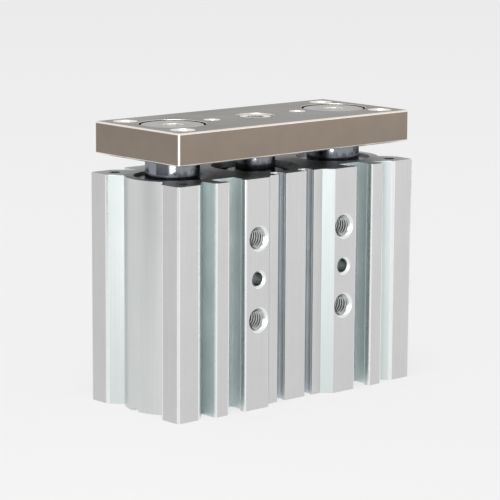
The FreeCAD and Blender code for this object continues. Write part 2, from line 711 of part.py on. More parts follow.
def guide_rod(side, centre):
    radius, tap = "guide_rod_diameter / 2", "guide_bolt_thread / 2 + seat_clearance"
    tap_end = "guide_head_seat - guide_bolt_reach - tap_spare"
    turn(new_body(f"guide_rod_{side}"), "guide_rod_profile", [
        ("0", "guide_rod_inset"), (f"{radius} - edge_break", "guide_rod_inset"),
        (radius, "guide_rod_inset + edge_break"), (radius, "guide_rod_top"),
        (tap, "guide_rod_top"), (tap, tap_end), ("0", tap_end),
    ], centre)


# ---------------------------------------------------------------- plate and screws


def end_plate():
    body = new_body("end_plate")
    blank = new_sketch(body, "plate_blank", "XY_Plane", "plate_z")
    sides = ("-plate_half_width", "plate_half_width", "-plate_half_depth", "plate_half_depth")
    add_outline(blank, rectangle(*sides))
    block = pad(blank, "plate_thickness")
    doc.recompute()
    edges = body.newObject("PartDesign::Chamfer", "plate_edges")
    edges.Base = (block, [f"Edge{number}" for number in range(1, len(block.Shape.Edges) + 1)])
    edges.setExpression("Size", ref("plate_chamfer"))
    doc.recompute()

    threads = new_sketch(body, "tooling_threads", "XY_Plane", "plate_top")
    for side in (-1, 1):
        for face in (-1, 1):
            add_circle(threads, flip("plate_hole_x", side), flip("plate_hole_y", face), "plate_thread")
    drill(threads, "plate_thread", None, "plate_mouth")
    dowels = new_sketch(body, "plate_dowels", "XY_Plane", "plate_top")
    for side in (-1, 1):
        add_circle(dowels, flip("plate_dowel_pitch / 2", side), "0", "dowel_diameter")
    drill(dowels, "dowel_diameter", None, "plate_dowel_mouth")

    guide_head = "guide_bolt_head + 2 * head_clearance"
    guide_sink = "guide_bolt_sink + guide_bolt_head_thickness"
    guides = new_sketch(body, "guide_bolt_holes", "XY_Plane", "plate_top")
    seats = new_sketch(body, "guide_rod_seats", "XY_Plane", "plate_z")
    for centre in SIDES.values():
        add_circle(guides, centre, "0", "guide_bolt_thread + 2 * head_clearance")
        add_circle(seats, centre, "0", "guide_rod_diameter + 2 * seat_clearance")
    drill(guides, "guide_bolt_thread + 2 * head_clearance", None, guide_head, guide_sink)
    cut(seats, "guide_seat_depth", forwards=True)

    middle = new_sketch(body, "plate_bolt_hole", "XY_Plane", "plate_top")
    add_circle(middle, "0", "0", "plate_bolt_thread + 2 * head_clearance")
    bolt_head = "plate_bolt_head + 4 * head_clearance"
    bolt_sink = "plate_bolt_sink + plate_bolt_head_thickness"
    drill(middle, "plate_bolt_thread + 2 * head_clearance", None, bolt_head, bolt_sink)
    seat = new_sketch(body, "piston_rod_seat", "XY_Plane", "plate_z")
    add_circle(seat, "0", "0", "piston_rod_diameter + 2 * seat_clearance")
    cut(seat, "piston_seat_depth", forwards=True)


def screw(label, head, seat_z, top_z, thread, reach, centre="0"):
    """A socket screw: a turned head and shank with a hexagon socket."""
    body = new_body(label)
    tip = f"{seat_z} - {reach}"
    turn(body, label + "_profile", [
        ("0", tip), (f"{thread} / 2 - edge_break", tip), (f"{thread} / 2", f"{tip} + edge_break"),
        (f"{thread} / 2", seat_z), (f"{head} / 2", seat_z), (f"{head} / 2", f"{top_z} - edge_break"),
        (f"{head} / 2 - edge_break", top_z), ("0", top_z),
    ], centre)
    doc.recompute()
    socket(body, top_z)


# ---------------------------------------------------------------- assembly


def check_document():
    """Stop if any object of the document failed, or if a piece isn't a valid solid."""
    doc.recompute()
    for item in doc.Objects:
        if {"Invalid", "Error"} & set(item.State):
            raise RuntimeError(f"{item.Label} is {item.State}")
    pieces = [item for item in doc.Objects if item.TypeId == "PartDesign::Body"]
    for piece in pieces:
        shape = piece.Shape
        if shape.isNull() or not shape.isValid() or len(shape.Solids) != 1:
            raise RuntimeError(f"{piece.Label} isn't one valid solid")
    return pieces


def write_parts(pieces):
    os.makedirs("parts", exist_ok=True)
    for piece in pieces:
        piece.Shape.exportStep(os.path.join("parts", piece.Label + ".step"))
        print(f"{piece.Label}: {piece.Shape.Volume:.1f} mm3")


fill_sheet()
housing()
head_cover()
rod_cover()
cover_o_ring("head_cover_o_ring", "head_face", "-")
cover_o_ring("rod_cover_o_ring", "rod_cover_z", "+")
retaining_ring("head_cover_retaining_ring", "head_ring_inset")
retaining_ring("rod_cover_retaining_ring", "rod_ring_z")
front_end()
piston()
bumpers_and_nut()
piston_rod()
end_plate()
for side, centre in SIDES.items():
    guide_bushes(side, centre)
    guide_rod(side, centre)
    screw(f"guide_bolt_{side}", "guide_bolt_head", "guide_head_seat", "guide_head_top",
          "guide_bolt_thread", "guide_bolt_reach", centre)
screw("plate_bolt", "plate_bolt_head", "plate_head_seat", "plate_head_top",
      "plate_bolt_thread", "plate_bolt_reach")
write_parts(check_document())
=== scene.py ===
"""Looks of a compact guided pneumatic cylinder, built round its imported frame.

Lengths are metres, and MM turns millimetres into them. Each sub-assembly is a class: it refines its own
nodes of the frame, models what they lack, such as threads and knurls, and gives them their finishes.
"""

import json
import logging
import math
from collections.abc import Callable, Sequence
from dataclasses import dataclass, field
from enum import Enum
from functools import cache

import bmesh
import bpy
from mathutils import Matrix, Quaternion, Vector

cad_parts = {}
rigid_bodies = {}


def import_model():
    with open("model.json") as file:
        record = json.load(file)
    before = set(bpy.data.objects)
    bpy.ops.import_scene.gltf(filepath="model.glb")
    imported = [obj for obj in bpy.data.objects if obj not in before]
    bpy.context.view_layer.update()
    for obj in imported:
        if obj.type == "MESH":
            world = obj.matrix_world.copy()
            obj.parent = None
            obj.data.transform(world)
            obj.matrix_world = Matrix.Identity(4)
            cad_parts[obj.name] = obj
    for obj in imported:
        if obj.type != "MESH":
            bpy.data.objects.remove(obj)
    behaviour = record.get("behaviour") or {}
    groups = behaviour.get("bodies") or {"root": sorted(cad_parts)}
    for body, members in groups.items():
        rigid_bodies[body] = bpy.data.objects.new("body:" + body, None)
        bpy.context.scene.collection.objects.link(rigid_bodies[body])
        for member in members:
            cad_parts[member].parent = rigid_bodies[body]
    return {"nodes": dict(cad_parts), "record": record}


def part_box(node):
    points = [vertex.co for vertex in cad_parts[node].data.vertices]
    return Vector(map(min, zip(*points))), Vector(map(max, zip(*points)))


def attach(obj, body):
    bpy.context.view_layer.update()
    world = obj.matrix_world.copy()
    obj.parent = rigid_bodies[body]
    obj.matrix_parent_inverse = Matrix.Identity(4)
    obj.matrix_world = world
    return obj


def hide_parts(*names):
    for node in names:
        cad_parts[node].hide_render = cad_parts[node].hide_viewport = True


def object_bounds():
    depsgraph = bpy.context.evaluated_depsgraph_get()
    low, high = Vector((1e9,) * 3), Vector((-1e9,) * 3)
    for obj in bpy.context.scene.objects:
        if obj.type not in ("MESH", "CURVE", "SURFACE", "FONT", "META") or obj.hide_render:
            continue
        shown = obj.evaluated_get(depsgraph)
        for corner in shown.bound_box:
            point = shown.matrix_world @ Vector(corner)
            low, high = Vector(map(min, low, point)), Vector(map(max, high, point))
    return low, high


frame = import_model()
CAD_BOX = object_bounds()

MM = 0.001
STILL_BODY = "cylinder"
MOVING_BODY = "slide"
SIDES = ("left", "right")
UP = Vector((0.0, 0.0, 1.0))
CLOSE = 0.2 * MM            # a face this close to an end lies in it
SHARP = math.radians(32)    # edges that bend more than this stay sharp
FACING = 0.9                # a normal's share along an axis, above which its face looks that way
SQUARE = 0.99               # the same, above which the face is square to it
EXACT = 0.999               # the same, for faces and edges taken as flat or upright

log = logging.getLogger("guided_cylinder")


# ---------------------------------------------------------------- node trees


def add_node(tree: bpy.types.NodeTree, kind: str, values: dict[str | int, object],
             operation: str = "") -> bpy.types.Node:
    """Add a shader node and feed its inputs.

    Args:
        tree: The node tree to add to.
        kind: Type of the node, without the ShaderNode in front.
        values: For each input, a constant or the socket that drives it.
        operation: What a math node works out.

    Returns:
        The node.
    """
    node = tree.nodes.new(f"ShaderNode{kind}")
    if operation:
        node.operation = operation
    for name, value in values.items():
        if isinstance(value, bpy.types.NodeSocket):
            tree.links.new(value, node.inputs[name])
        else:
            node.inputs[name].default_value = value
    return node


def remap(tree: bpy.types.NodeTree, value: bpy.types.NodeSocket, span: tuple[float, float],
          result: tuple[float, float]) -> bpy.types.NodeSocket:
    """Spread a value's span over another one, and stay in it.

    Args:
        tree: The node tree to add to.
        value: The value.
        span: Its lowest and highest level.
        result: What those levels become.

    Returns:
        The socket with the new value.
    """
    ends = {"From Min": span[0], "From Max": span[1], "To Min": result[0], "To Max": result[1]}
    return add_node(tree, "MapRange", {"Value": value, **ends}).outputs[0]


# ---------------------------------------------------------------- finishes


COAT_ROUGHNESS = 0.15
SMOOTHEST = 0.02
LINE_STRETCH = 0.012          # how slowly a grain changes along its lines, for 1 across them
CLOUD_DETAIL = 4.0            # octaves of the clouds
LINE_DETAIL = 3.0             # octaves of the lines
NOISE_SPAN = (0.3, 0.7)       # where nearly all of a noise lies
PRODUCT_SPAN = (0.1, 0.4)     # where nearly all of the product of two noises lies


class Grain(Enum):
    """Which way the fine lines of a surface run."""

    NONE = "none"
    ALONG_X = "along x"
    UPRIGHT = "upright"
    TURNED = "turned"


@dataclass(frozen=True)
class Finish:
    """How one kind of surface looks.

    Attributes:
        name: Name of the material.
        colour: Linear red, green and blue.
        metallic: 1 for bare metal, 0 for rubber, resin and felt.
        roughness: Middle of the roughness.
        spread: How far the roughness wanders to each side.
        grain: Which way its fine lines run.
        pitch: Distance between lines, or size of the grains.
        depth: Height of the lines or grains.
        stains: Share of the colour that soft clouds take away.
        cloud: Size of those clouds.
        lines: Share of the colour that the lines take away.
        coat: Weight of a thin clear coat, such as an oil film or a plating's gloss.
        grazing: How much of a metal's shine is left at a grazing angle.
    """

    name: str
    colour: tuple[float, float, float]
    metallic: float = 1.0
    roughness: float = 0.35
    spread: float = 0.06
    grain: Grain = Grain.NONE
    pitch: float = 0.25 * MM
    depth: float = 0.004 * MM
    stains: float = 0.05
    cloud: float = 12 * MM
    lines: float = 0.05
    coat: float = 0.0
    grazing: float = 1.0

    def material(self, centre_x: float = 0.0) -> bpy.types.Material:
        """The node material of this finish, made once for each centre.

        Args:
            centre_x: X of the axis that turned lines run round.

        Returns:
            The material.
        """
        if self.grain is Grain.TURNED and abs(centre_x) > MM:
            return self._make(f"{self.name}_{'left' if centre_x < 0 else 'right'}", round(centre_x, 4))
        return self._make(self.name, 0.0)

    @cache
    def _make(self, name: str, centre_x: float) -> bpy.types.Material:
        """Build the node tree: clouds and lines drive colour, roughness and height.

        Args:
            name: Name of the material.
            centre_x: X of the axis that turned lines run round.

        Returns:
            The material.
        """
        material = bpy.data.materials.new(name)
        material.use_nodes = True
        tree = material.node_tree
        shader = tree.nodes["Principled BSDF"]
        shader.inputs["Metallic"].default_value = self.metallic
        shader.inputs["Coat Weight"].default_value = self.coat
        shader.inputs["Coat Roughness"].default_value = COAT_ROUGHNESS
        shader.inputs["Specular Tint"].default_value = (self.grazing, self.grazing, self.grazing, 1.0)

        place = add_node(tree, "TexCoord", {}).outputs["Object"]
        grain = self._grain_space(tree, place, centre_x)
        clouds = add_node(tree, "TexNoise", {"Vector": place, "Scale": 1 / self.cloud,
                                             "Detail": CLOUD_DETAIL}).outputs[0]
        lines = add_node(tree, "TexNoise", {"Vector": grain, "Scale": 1.0, "Detail": LINE_DETAIL}).outputs[0]

        tint = self._darken(tree, self.colour, clouds, self.stains)
        tint = self._darken(tree, tint, lines, self.lines)
        tree.links.new(tint, shader.inputs["Base Color"])

        mixed = add_node(tree, "Math", {0: clouds, 1: lines}, "MULTIPLY").outputs[0]
        around = (max(SMOOTHEST, self.roughness - self.spread), self.roughness + self.spread)
        tree.links.new(remap(tree, mixed, PRODUCT_SPAN, around), shader.inputs["Roughness"])

        bump = add_node(tree, "Bump", {"Distance": self.depth, "Height": lines})
        tree.links.new(bump.outputs["Normal"], shader.inputs["Normal"])
        return material

    def _grain_space(self, tree: bpy.types.NodeTree, place: bpy.types.NodeSocket,
                     centre_x: float) -> bpy.types.NodeSocket:
        """Object coordinates squeezed so that a noise in them runs in lines.

        Args:
            tree: The material's node tree.
            place: Object coordinates.
            centre_x: X of the axis that turned lines run round.

        Returns:
            The socket with the new coordinates.
        """
        across, along = 1 / self.pitch, LINE_STRETCH / self.pitch
        scales = {
            Grain.NONE: (across, across, across),
            Grain.ALONG_X: (along, across, across),
            Grain.UPRIGHT: (across, across, along),
            Grain.TURNED: (1.0, 1.0, 1.0),
        }
        moved = add_node(tree, "Mapping", {"Vector": place, "Scale": scales[self.grain],
                                           "Location": (-centre_x, 0.0, 0.0)}).outputs[0]
        if self.grain is not Grain.TURNED:
            return moved
        flat = add_node(tree, "VectorMath", {0: moved, 1: (1.0, 1.0, 0.0)}, "MULTIPLY").outputs[0]
        radius = add_node(tree, "VectorMath", {0: flat}, "LENGTH").outputs["Value"]
        height = add_node(tree, "SeparateXYZ", {0: moved}).outputs["Z"]
        ring = add_node(tree, "CombineXYZ", {"X": radius, "Z": height}).outputs[0]
        return add_node(tree, "VectorMath", {0: ring, "Scale": across}, "SCALE").outputs[0]

    @staticmethod
    def _darken(tree: bpy.types.NodeTree, colour: "Sequence[float] | bpy.types.NodeSocket",
                value: bpy.types.NodeSocket, share: float) -> bpy.types.NodeSocket:
        """Take up to a share of a colour away where a value is high.

        Args:
            tree: The material's node tree.
            colour: A colour, or a socket that carries one.
            value: What drives the darkening.
            share: The most that is taken away.

        Returns:
            The socket with the darkened colour.
        """
        level = remap(tree, value, NOISE_SPAN, (1.0, 1.0 - share))
        return add_node(tree, "VectorMath", {0: colour, "Scale": level}, "SCALE").outputs[0]


LINISHED = Finish("linished_aluminium", (0.652, 0.652, 0.65), roughness=0.42, grain=Grain.UPRIGHT,
                  pitch=0.35 * MM, depth=0.002 * MM, stains=0.04, cloud=18 * MM, lines=0.05)
# Partly painted reflection: the aluminium's own colour with a greenish tint that stands in for what the
# channel walls and slants mirror.
EXTRUDED_REFLECTION_TINT = Finish("extruded_aluminium", (0.70, 0.76, 0.755), roughness=0.38, grain=Grain.UPRIGHT,
                  pitch=0.5 * MM, depth=0.005 * MM, stains=0.04, cloud=15 * MM, lines=0.05)
DRAWN = Finish("drawn_aluminium", (0.705, 0.725, 0.722), roughness=0.36, grain=Grain.UPRIGHT,
               pitch=0.45 * MM, depth=0.004 * MM, stains=0.03, cloud=15 * MM, lines=0.04)
# Painted light and painted shade: lit and shaded copies of the aluminium for the sensor grooves, near white
# on most walls and darker on those that face along the wide side.
GROOVE_LIT = Finish("slot_aluminium", (0.97, 0.985, 0.99), roughness=0.26, grain=Grain.UPRIGHT,
                pitch=0.4 * MM, depth=0.002 * MM, lines=0.04)
LIP_SHADE = Finish("slot_lip_aluminium", (0.62, 0.65, 0.67), roughness=0.30, grain=Grain.UPRIGHT,
             pitch=0.4 * MM, depth=0.002 * MM, lines=0.04)
MILLED = Finish("milled_aluminium", (0.44, 0.45, 0.455), roughness=0.40, grain=Grain.ALONG_X,
                pitch=0.3 * MM, depth=0.006 * MM, lines=0.12, grazing=0.75)
BORED = Finish("bored_aluminium", (0.50, 0.52, 0.53), roughness=0.26, grain=Grain.NONE,
               pitch=0.15 * MM, depth=0.003 * MM, lines=0.08)
# Painted highlight: a near-white copy of the aluminium for rounded edges and chamfers, standing in for the
# bright lines that light draws along them.
EDGE = Finish("bright_edge", (0.94, 0.96, 0.96), roughness=0.30, spread=0.08, grain=Grain.NONE,
              pitch=0.4 * MM, depth=0.003 * MM, stains=0.06, cloud=3 * MM)
TURNED = Finish("turned_cover", (0.42, 0.43, 0.44), roughness=0.28, grain=Grain.TURNED,
                pitch=0.16 * MM, depth=0.006 * MM, lines=0.15, grazing=0.5)
PLATE_SIDE = Finish("plated_plate_side", (0.294, 0.244, 0.202), roughness=0.34, grain=Grain.NONE,
                    pitch=0.12 * MM, depth=0.004 * MM, stains=0.08, cloud=9 * MM, lines=0.06)
# Painted shade: the plate's back and the bolt seats painted near black, standing in for the shade under the
# plate and in the gaps round the bolt heads.
PLATE_SHADE = Finish("plated_plate_back", (0.09, 0.082, 0.075), roughness=0.36, grain=Grain.ALONG_X,
                    pitch=0.2 * MM, depth=0.004 * MM, stains=0.1, cloud=9 * MM, lines=0.1, grazing=0.15)
PLATE_TOP = Finish("ground_plate_top", (0.275, 0.255, 0.23), roughness=0.30, grain=Grain.ALONG_X,
                   pitch=0.18 * MM, depth=0.006 * MM, stains=0.06, cloud=20 * MM, lines=0.14, grazing=0.78)
# Painted highlight: the plated steel's chamfers painted near white, standing in for the light caught along
# them.
PLATE_EDGE_HIGHLIGHT = Finish("plated_edge", (0.98, 0.91, 0.83), roughness=0.30, stains=0.06, cloud=4 * MM)
# Painted light: the plated colour brightened to near white, standing in for the lit far walls of the holes
# and sockets.
PLATE_HOLE_LIT = Finish("plated_hole", (0.95, 0.92, 0.88), roughness=0.34, stains=0.12, cloud=2 * MM)
BOLT_HEAD = Finish("ground_bolt_head", (0.33, 0.32, 0.305), roughness=0.27, grain=Grain.TURNED,
                   pitch=0.2 * MM, depth=0.005 * MM, stains=0.08, cloud=6 * MM, lines=0.15)
THREAD = Finish("tapped_aluminium", (0.56, 0.58, 0.58), roughness=0.2, pitch=0.12 * MM, depth=0.002 * MM,
                stains=0.1, cloud=2 * MM, grazing=0.6)
# Painted reflection: the chrome's colour is darkened well below that of real chrome, standing in for the
# dark surroundings it mirrors.
CHROME_DARK_REFLECTION = Finish("ground_chrome", (0.27, 0.285, 0.315), roughness=0.13, spread=0.03, grain=Grain.UPRIGHT,
                pitch=0.5 * MM, depth=0.0006 * MM, stains=0.04, lines=0.02, grazing=0.6)
SCREW = Finish("plated_screw", (0.90, 0.88, 0.84), roughness=0.3, grain=Grain.TURNED,
               pitch=0.2 * MM, depth=0.005 * MM, lines=0.15)
SPRING = Finish("phosphated_spring", (0.13, 0.135, 0.15), roughness=0.30, grain=Grain.NONE,
                pitch=0.2 * MM, depth=0.006 * MM, lines=0.2)
BRONZE = Finish("sintered_bronze", (0.45, 0.30, 0.14), roughness=0.42, grain=Grain.NONE,
                pitch=0.12 * MM, depth=0.012 * MM, lines=0.30, cloud=2 * MM, stains=0.15)
RUBBER = Finish("black_rubber", (0.022, 0.022, 0.024), metallic=0.0, roughness=0.55,
                pitch=0.1 * MM, depth=0.006 * MM)
URETHANE = Finish("amber_urethane", (0.27, 0.16, 0.06), metallic=0.0, roughness=0.38, pitch=0.3 * MM,
                  coat=0.3)
RESIN = Finish("filled_resin", (0.09, 0.075, 0.065), metallic=0.0, roughness=0.5, pitch=0.1 * MM)
MAGNET = Finish("pressed_magnet", (0.05, 0.05, 0.055), metallic=0.2, roughness=0.55,
                pitch=0.15 * MM, depth=0.01 * MM, lines=0.3)
FELT = Finish("oiled_felt", (0.035, 0.035, 0.038), metallic=0.0, roughness=0.85, pitch=0.12 * MM,
              depth=0.08 * MM, lines=0.5, cloud=1.5 * MM, stains=0.3, coat=0.25)

SLOT_FINISHES = {
    "anodised_extrusion": LINISHED,
    "turned_aluminium": TURNED,
    "plated_steel": PLATE_SIDE,
    "hard_chrome": CHROME_DARK_REFLECTION,
    "screw_steel": SCREW,
    "spring_steel": SPRING,
    "bearing_bronze": BRONZE,
    "nitrile_rubber": RUBBER,
    "urethane": URETHANE,
    "wear_resin": RESIN,
    "bonded_magnet": MAGNET,
    "oil_felt": FELT,
}
NODE_SLOTS = {part["node"]: part["material_slot"] for part in frame["record"]["subparts"]}
MOUNTS = {mount["name"]: mount for mount in frame["record"]["mounts"]}


# ---------------------------------------------------------------- work at the bench


MERGE_DISTANCE = 0.002 * MM
FLAT_ANGLE = math.radians(1)    # faces that bend less than this become one
KEEP_FLAT = 90                  # weight that keeps wide faces flat beside rounded edges


def centre_of(node: str) -> Vector:
    """Middle of a node's box.

    Args:
        node: Name of the node.

    Returns:
        The middle.
    """
    low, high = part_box(node)
    return (low + high) / 2


def pick_only(*pieces: bpy.types.Object) -> None:
    """Deselect everything, then select the pieces and make the last one active.

    Args:
        *pieces: Objects to select.
    """
    bpy.ops.object.select_all(action="DESELECT")
    for piece in pieces:
        piece.select_set(True)
        bpy.context.view_layer.objects.active = piece


def in_edit_mode(piece: bpy.types.Object, work: Callable[[], None]) -> None:
    """Do a piece of work in edit mode, with all of the mesh selected at first.

    Args:
        piece: The object to work on.
        work: Calls the edit mode operators.
    """
    pick_only(piece)
    bpy.ops.object.mode_set(mode="EDIT")
    bpy.ops.mesh.select_mode(type="VERT")
    bpy.ops.mesh.select_all(action="SELECT")
    work()
    bpy.ops.object.mode_set(mode="OBJECT")


def select_faces(piece: bpy.types.Object, chosen: Callable[[Vector, Vector], bool]) -> None:
    """Select faces by place and normal. It is called in edit mode and stays there.

    Args:
        piece: The object in edit mode.
        chosen: Says yes to a face's middle and normal.
    """
    bpy.ops.mesh.select_mode(type="FACE")
    bpy.ops.mesh.select_all(action="DESELECT")
    bpy.ops.object.mode_set(mode="OBJECT")
    for face in piece.data.polygons:
        face.select = chosen(face.center, face.normal)
    bpy.ops.object.mode_set(mode="EDIT")


def apply_modifier(piece: bpy.types.Object, kind: str, **settings: object) -> None:
    """Add a modifier with its settings and apply it.

    Args:
        piece: The object to modify.
        kind: The modifier's type.
        **settings: Attributes of the modifier.
    """
    pick_only(piece)
    modifier = piece.modifiers.new(kind.lower(), kind)
    for name, value in settings.items():
        setattr(modifier, name, value)
    bpy.ops.object.modifier_apply(modifier=modifier.name)


def settle(piece: bpy.types.Object) -> None:
    """Put an object's place, turn and scale into its mesh."""
    pick_only(piece)
    bpy.ops.object.transform_apply(location=True, rotation=True, scale=True)


def bevel_edges(piece: bpy.types.Object, width: float,
                chosen: Callable[[Vector, Vector, float], bool], slot: int = -1, steps: int = 2) -> None:
    """Round some of the sharp edges of a piece.

    Args:
        piece: The object to work on.
        width: Width of the rounding.
        chosen: Says yes to an edge's middle, its run and its bend, which is above 0 where it stands out.
        slot: Material slot that the new faces get, or -1 for that of their neighbours.
        steps: Faces across the rounding.
    """

    def work() -> None:
        """Select the edges and bevel them."""
        bpy.ops.mesh.select_mode(type="EDGE")
        bpy.ops.mesh.select_all(action="DESELECT")
        mesh = bmesh.from_edit_mesh(piece.data)
        for edge in mesh.edges:
            start, end = (vertex.co for vertex in edge.verts)
            bend = edge.calc_face_angle_signed(0.0)
            edge.select_set(abs(bend) > SHARP and chosen((start + end) / 2, end - start, bend))
        bmesh.update_edit_mesh(piece.data)
        bpy.ops.mesh.bevel(offset=width, segments=steps, affect="EDGES", clamp_overlap=True,
                           material=slot, miter_outer="ARC")

    in_edit_mode(piece, work)


def any_edge(_middle: Vector, _run: Vector, _bend: float) -> bool:
    """Choice of every sharp edge."""
    return True


def shade(piece: bpy.types.Object) -> None:
    """Shade a piece smooth, but for its sharp edges, and keep its wide faces flat."""
    pick_only(piece)
    bpy.ops.object.shade_smooth_by_angle(angle=SHARP)
    apply_modifier(piece, "WEIGHTED_NORMAL", weight=KEEP_FLAT, keep_sharp=True)


def cut_away(piece: bpy.types.Object, shape: str, **sizes: object) -> None:
    """Cut a cone's or a cylinder's shape out of a piece.

    Args:
        piece: The object to cut.
        shape: "cone" or "cylinder".
        **sizes: What the primitive takes.
    """
    bpy.ops.object.select_all(action="DESELECT")
    getattr(bpy.ops.mesh, f"primitive_{shape}_add")(**sizes)
    cutter = bpy.context.object
    settle(cutter)
    apply_modifier(piece, "BOOLEAN", operation="DIFFERENCE", object=cutter, solver="EXACT")
    bpy.data.objects.remove(cutter)


def copy_of_node(node: str) -> bpy.types.Object:
    """A clean copy of a node's mesh: merged, and with its flat faces whole.

    Args:
        node: Name of the node.

    Returns:
        The new object, with no materials.
    """
    piece = bpy.data.objects.new(f"{node}_finished", frame["nodes"][node].data.copy())
    bpy.context.scene.collection.objects.link(piece)
    piece.data.materials.clear()
    pick_only(piece)
    bpy.ops.mesh.customdata_custom_splitnormals_clear()

    def merge() -> None:
        """Join the loose triangles into whole faces."""
        bpy.ops.mesh.remove_doubles(threshold=MERGE_DISTANCE)
        bpy.ops.mesh.dissolve_limited(angle_limit=FLAT_ANGLE)

    in_edit_mode(piece, merge)
    return piece


def paint(piece: bpy.types.Object, rules: Sequence[tuple[Finish, Callable[[Vector, Vector], bool]]],
          centre_x: float = 0.0) -> None:
    """Give a piece a slot for each finish, and each face the first whose rule says yes.

    Args:
        piece: The object to paint.
        rules: Finishes with their rules, which read a face's middle and normal.
        centre_x: X of the axis that turned lines run round.
    """
    piece.data.materials.clear()
    for finish, _ in rules:
        piece.data.materials.append(finish.material(centre_x))
    for face in piece.data.polygons:
        face.material_index = next(number for number, (_, chosen) in enumerate(rules)
                                   if chosen(face.center, face.normal))


def anywhere(_place: Vector, _normal: Vector) -> bool:
    """Rule of a finish that takes every face."""
    return True


def nowhere(_place: Vector, _normal: Vector) -> bool:
    """Rule of a finish that waits for the rounded edges."""
    return False


def hand_over(piece: bpy.types.Object, body: str, slot: str, *nodes: str) -> None:
    """Tie a finished piece to its body, and hide the nodes that it stands for.

    Args:
        piece: The finished piece.
        body: Body that it rides on.
        slot: Material slot of the record; not used.
        *nodes: Nodes that it replaces.
    """
    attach(piece, body)
    if nodes:
        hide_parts(*nodes)
    log.info("%s: %d faces, on %s", piece.name, len(piece.data.polygons), body)


# ---------------------------------------------------------------- threads


@dataclass(frozen=True)
class ThreadRidge:
    """The helical ridge that stands on the wall of a tapped hole.

    Attributes:
        radius: Radius of the hole's wall.
        pitch: Rise of one turn.
        length: Tapped length.
        countersink: Depth of the chamfer at the mouth.
        steps: Faces round one turn.
        foot: Half the width of the ridge's foot, in pitches.
        crest: Half the width of its crest, in pitches.
        height: Height of its crest over the wall, in pitches.
        sunk: Depth of its foot in the wall, in pitches.
        cone_sides: Sides of the cone that cuts the countersink.
    """

    radius: float
    pitch: float
    length: float
    countersink: float
    steps: int = 36
    foot: float = 0.46
    crest: float = 0.11
    height: float = 0.54
    sunk: float = 0.02
    cone_sides: int = 64

    def build(self, name: str, mouth: Vector, outwards: Vector) -> bpy.types.Object:
        """Model the ridge, cut it by its countersink and lay it in its hole.

        Args:
            name: Name of the piece.
            mouth: Middle of the hole in the face that it is drilled in.
            outwards: Direction out of the hole.

        Returns:
            The ridge.
        """
        bpy.ops.object.select_all(action="DESELECT")
        bpy.ops.mesh.primitive_plane_add(size=2, rotation=(math.pi / 2, 0, 0))
        ridge = bpy.context.object
        ridge.name = name
        ridge.data.name = name
        settle(ridge)
        for corner in ridge.data.vertices:
            at_foot = corner.co.x > 0
            half = (self.foot if at_foot else self.crest) * self.pitch
            reach = (self.sunk if at_foot else -self.height) * self.pitch
            corner.co = (self.radius + reach, 0, math.copysign(half, corner.co.z) + self.pitch)
        turns = int(self.length / self.pitch)
        apply_modifier(ridge, "SCREW", axis="Z", angle=math.tau, screw_offset=-self.pitch,
                       iterations=turns, steps=self.steps, render_steps=self.steps)

        def close() -> None:
            """Close the two ends of the ridge."""
            bpy.ops.mesh.select_mode(type="EDGE")
            bpy.ops.mesh.select_all(action="SELECT")
            bpy.ops.mesh.fill_holes(sides=4)
            bpy.ops.mesh.select_all(action="SELECT")
            bpy.ops.mesh.normals_make_consistent(inside=False)

        in_edit_mode(ridge, close)
        depth = self.radius + self.countersink
        cut_away(ridge, "cone", vertices=self.cone_sides, radius1=0, radius2=2 * depth, depth=2 * depth,
                 location=(0, 0, 0))
        ridge.rotation_mode = "QUATERNION"
        ridge.rotation_quaternion = UP.rotation_difference(outwards)
        ridge.location = mouth
        settle(ridge)
        shade(ridge)
        return ridge


# ---------------------------------------------------------------- housing


